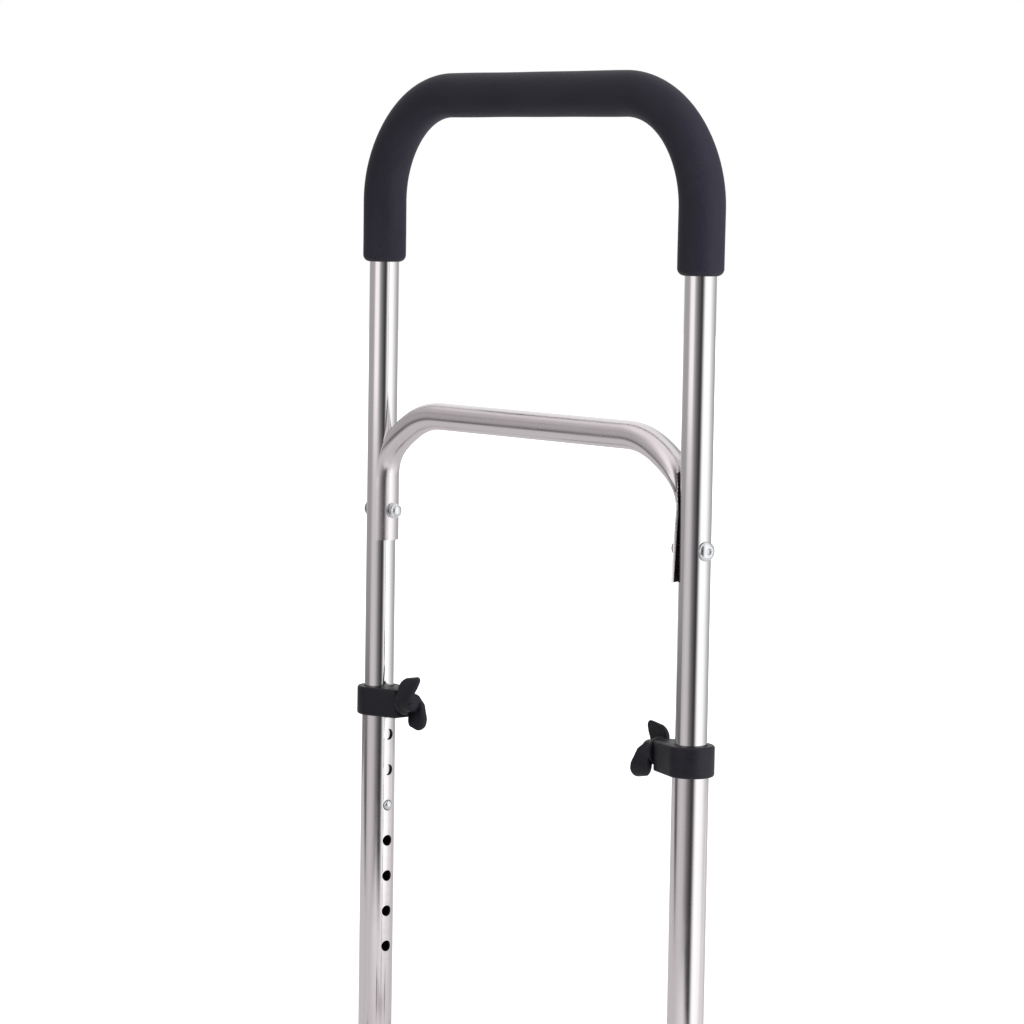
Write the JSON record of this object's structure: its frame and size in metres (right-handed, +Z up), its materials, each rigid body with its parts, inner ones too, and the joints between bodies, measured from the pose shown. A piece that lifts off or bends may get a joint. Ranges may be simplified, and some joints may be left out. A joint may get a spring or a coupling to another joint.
{
  "type": "toilet safety frame",
  "caption": "Free-standing support rail with a foam grip and clamped telescopic legs that set its height, for steadying a person who sits down or stands up.",
  "frame": {"origin": "on the floor, under the middle of the rail", "axes": "+X along the rail from its left leg to its right leg, +Y to the back along the floor runners, +Z up"},
  "size_m": [0.3726, 0.4186, 0.7859],
  "materials": {
    "polished_steel": "polished stainless tube",
    "zinc_fastener": "bright zinc",
    "spring_steel": "dull spring strip",
    "grip_foam": "matte closed-cell foam",
    "black_plastic": "moulded, fine texture",
    "foot_rubber": "moulded, matte"
  },
  "bodies": {
    "root": {"cross_tube": "polished_steel", "outer_leg_left": "polished_steel", "clamp_collar_left": "black_plastic", "clamp_nut_left": "zinc_fastener", "floor_runner_left": "polished_steel", "leg_socket_left": "polished_steel", "socket_bolt_left": "zinc_fastener", "socket_nut_left": "zinc_fastener", "rubber_foot_front_left": "foot_rubber", "rubber_foot_back_left": "foot_rubber", "outer_leg_right": "polished_steel", "clamp_collar_right": "black_plastic", "clamp_nut_right": "zinc_fastener", "floor_runner_right": "polished_steel", "leg_socket_right": "polished_steel", "socket_bolt_right": "zinc_fastener", "socket_nut_right": "zinc_fastener", "rubber_foot_front_right": "foot_rubber", "rubber_foot_back_right": "foot_rubber"},
    "rail": {"handle_tube": "polished_steel", "hand_grip": "grip_foam", "brace_tube": "polished_steel", "brace_bolt_left": "zinc_fastener", "brace_washer_left": "zinc_fastener", "brace_nut_left": "zinc_fastener", "button_spring_left": "spring_steel", "brace_bolt_right": "zinc_fastener", "brace_washer_right": "zinc_fastener", "brace_nut_right": "zinc_fastener", "button_spring_right": "spring_steel"},
    "button_left": {"snap_button_left": "zinc_fastener"},
    "pad_left": {"clamp_pad_left": "black_plastic"},
    "knob_left": {"knob_stud_left": "zinc_fastener", "wing_knob_left": "black_plastic"},
    "button_right": {"snap_button_right": "zinc_fastener"},
    "pad_right": {"clamp_pad_right": "black_plastic"},
    "knob_right": {"knob_stud_right": "zinc_fastener", "wing_knob_right": "black_plastic"}
  },
  "joints": [
    {"name": "height_slide", "type": "slide", "parent": "root", "child": "rail", "axis": [0, 0, 1], "range_m": [-0.1064, 0.0532]},
    {"name": "button_press_left", "type": "slide", "parent": "rail", "child": "button_left", "axis": [-1, 0, 0], "range_m": [0, 0.004], "stiffness_N_per_m": 1500, "springref_m": -0.002, "deforming": ["button_spring_left"]},
    {"name": "pad_travel_left", "type": "slide", "parent": "root", "child": "pad_left", "axis": [1, 0, 0], "range_m": [0, 0.002]},
    {"name": "knob_turn_left", "type": "hinge", "parent": "pad_left", "child": "knob_left", "pos_m": [-0.17, 0, 0.326], "axis": [1, 0, 0], "range_deg": [0, 720]},
    {"name": "button_press_right", "type": "slide", "parent": "rail", "child": "button_right", "axis": [1, 0, 0], "range_m": [0, 0.004], "stiffness_N_per_m": 1500, "springref_m": -0.002, "deforming": ["button_spring_right"]},
    {"name": "pad_travel_right", "type": "slide", "parent": "root", "child": "pad_right", "axis": [-1, 0, 0], "range_m": [0, 0.002]},
    {"name": "knob_turn_right", "type": "hinge", "parent": "pad_right", "child": "knob_right", "pos_m": [0.17, 0, 0.326], "axis": [-1, 0, 0], "range_deg": [0, 720]}
  ],
  "couplings": [
    {"joint": "knob_turn_left", "follows": "pad_travel_left", "rad_per_m": 6283.2},
    {"joint": "knob_turn_right", "follows": "pad_travel_right", "rad_per_m": 6283.2}
  ]
}
